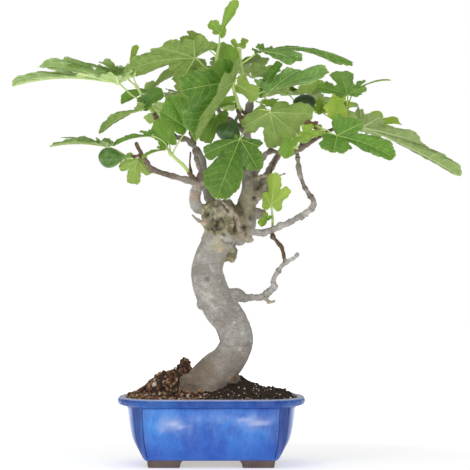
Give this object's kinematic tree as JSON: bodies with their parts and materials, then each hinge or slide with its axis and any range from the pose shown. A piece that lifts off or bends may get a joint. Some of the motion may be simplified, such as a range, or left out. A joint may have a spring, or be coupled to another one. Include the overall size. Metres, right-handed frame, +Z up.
{
  "type": "potted fig bonsai",
  "caption": "Common fig bonsai with a bent grey trunk, broad lobed leaves and small green figs, planted in a rectangular blue glazed pot on feet.",
  "frame": {"origin": "middle of the whole plant's bounding box, at the level of the surface that the feet stand on", "axes": "+Z up, +X to the right of the front view, +Y to the back"},
  "size_m": [0.6054, 0.2929, 0.6261],
  "materials": {
    "glaze": "gloss",
    "screen": "matte",
    "soil": "matte",
    "bark": "matte",
    "leaf": "satin",
    "fig": "satin"
  },
  "bodies": {
    "root": {"pot": "glaze", "drain_screen_left": "screen", "drain_screen_right": "screen", "soil": "soil", "trunk_and_branches": "bark", "shoot_left_top": "leaf", "shoot_top": "leaf", "shoot_middle": "leaf", "shoot_twig": "leaf", "shoot_right_top": "leaf", "shoot_right": "leaf", "shoot_right_bud": "leaf", "shoot_right_end": "leaf", "shoot_left_low": "leaf", "shoot_left_tip": "leaf", "shoot_low": "leaf", "leaf_front": "leaf", "shoot_rear_left": "leaf", "shoot_rear_right": "leaf", "shoot_rear_top": "leaf", "fig_left": "fig", "fig_middle": "fig", "fig_right": "fig"}
  },
  "joints": []
}
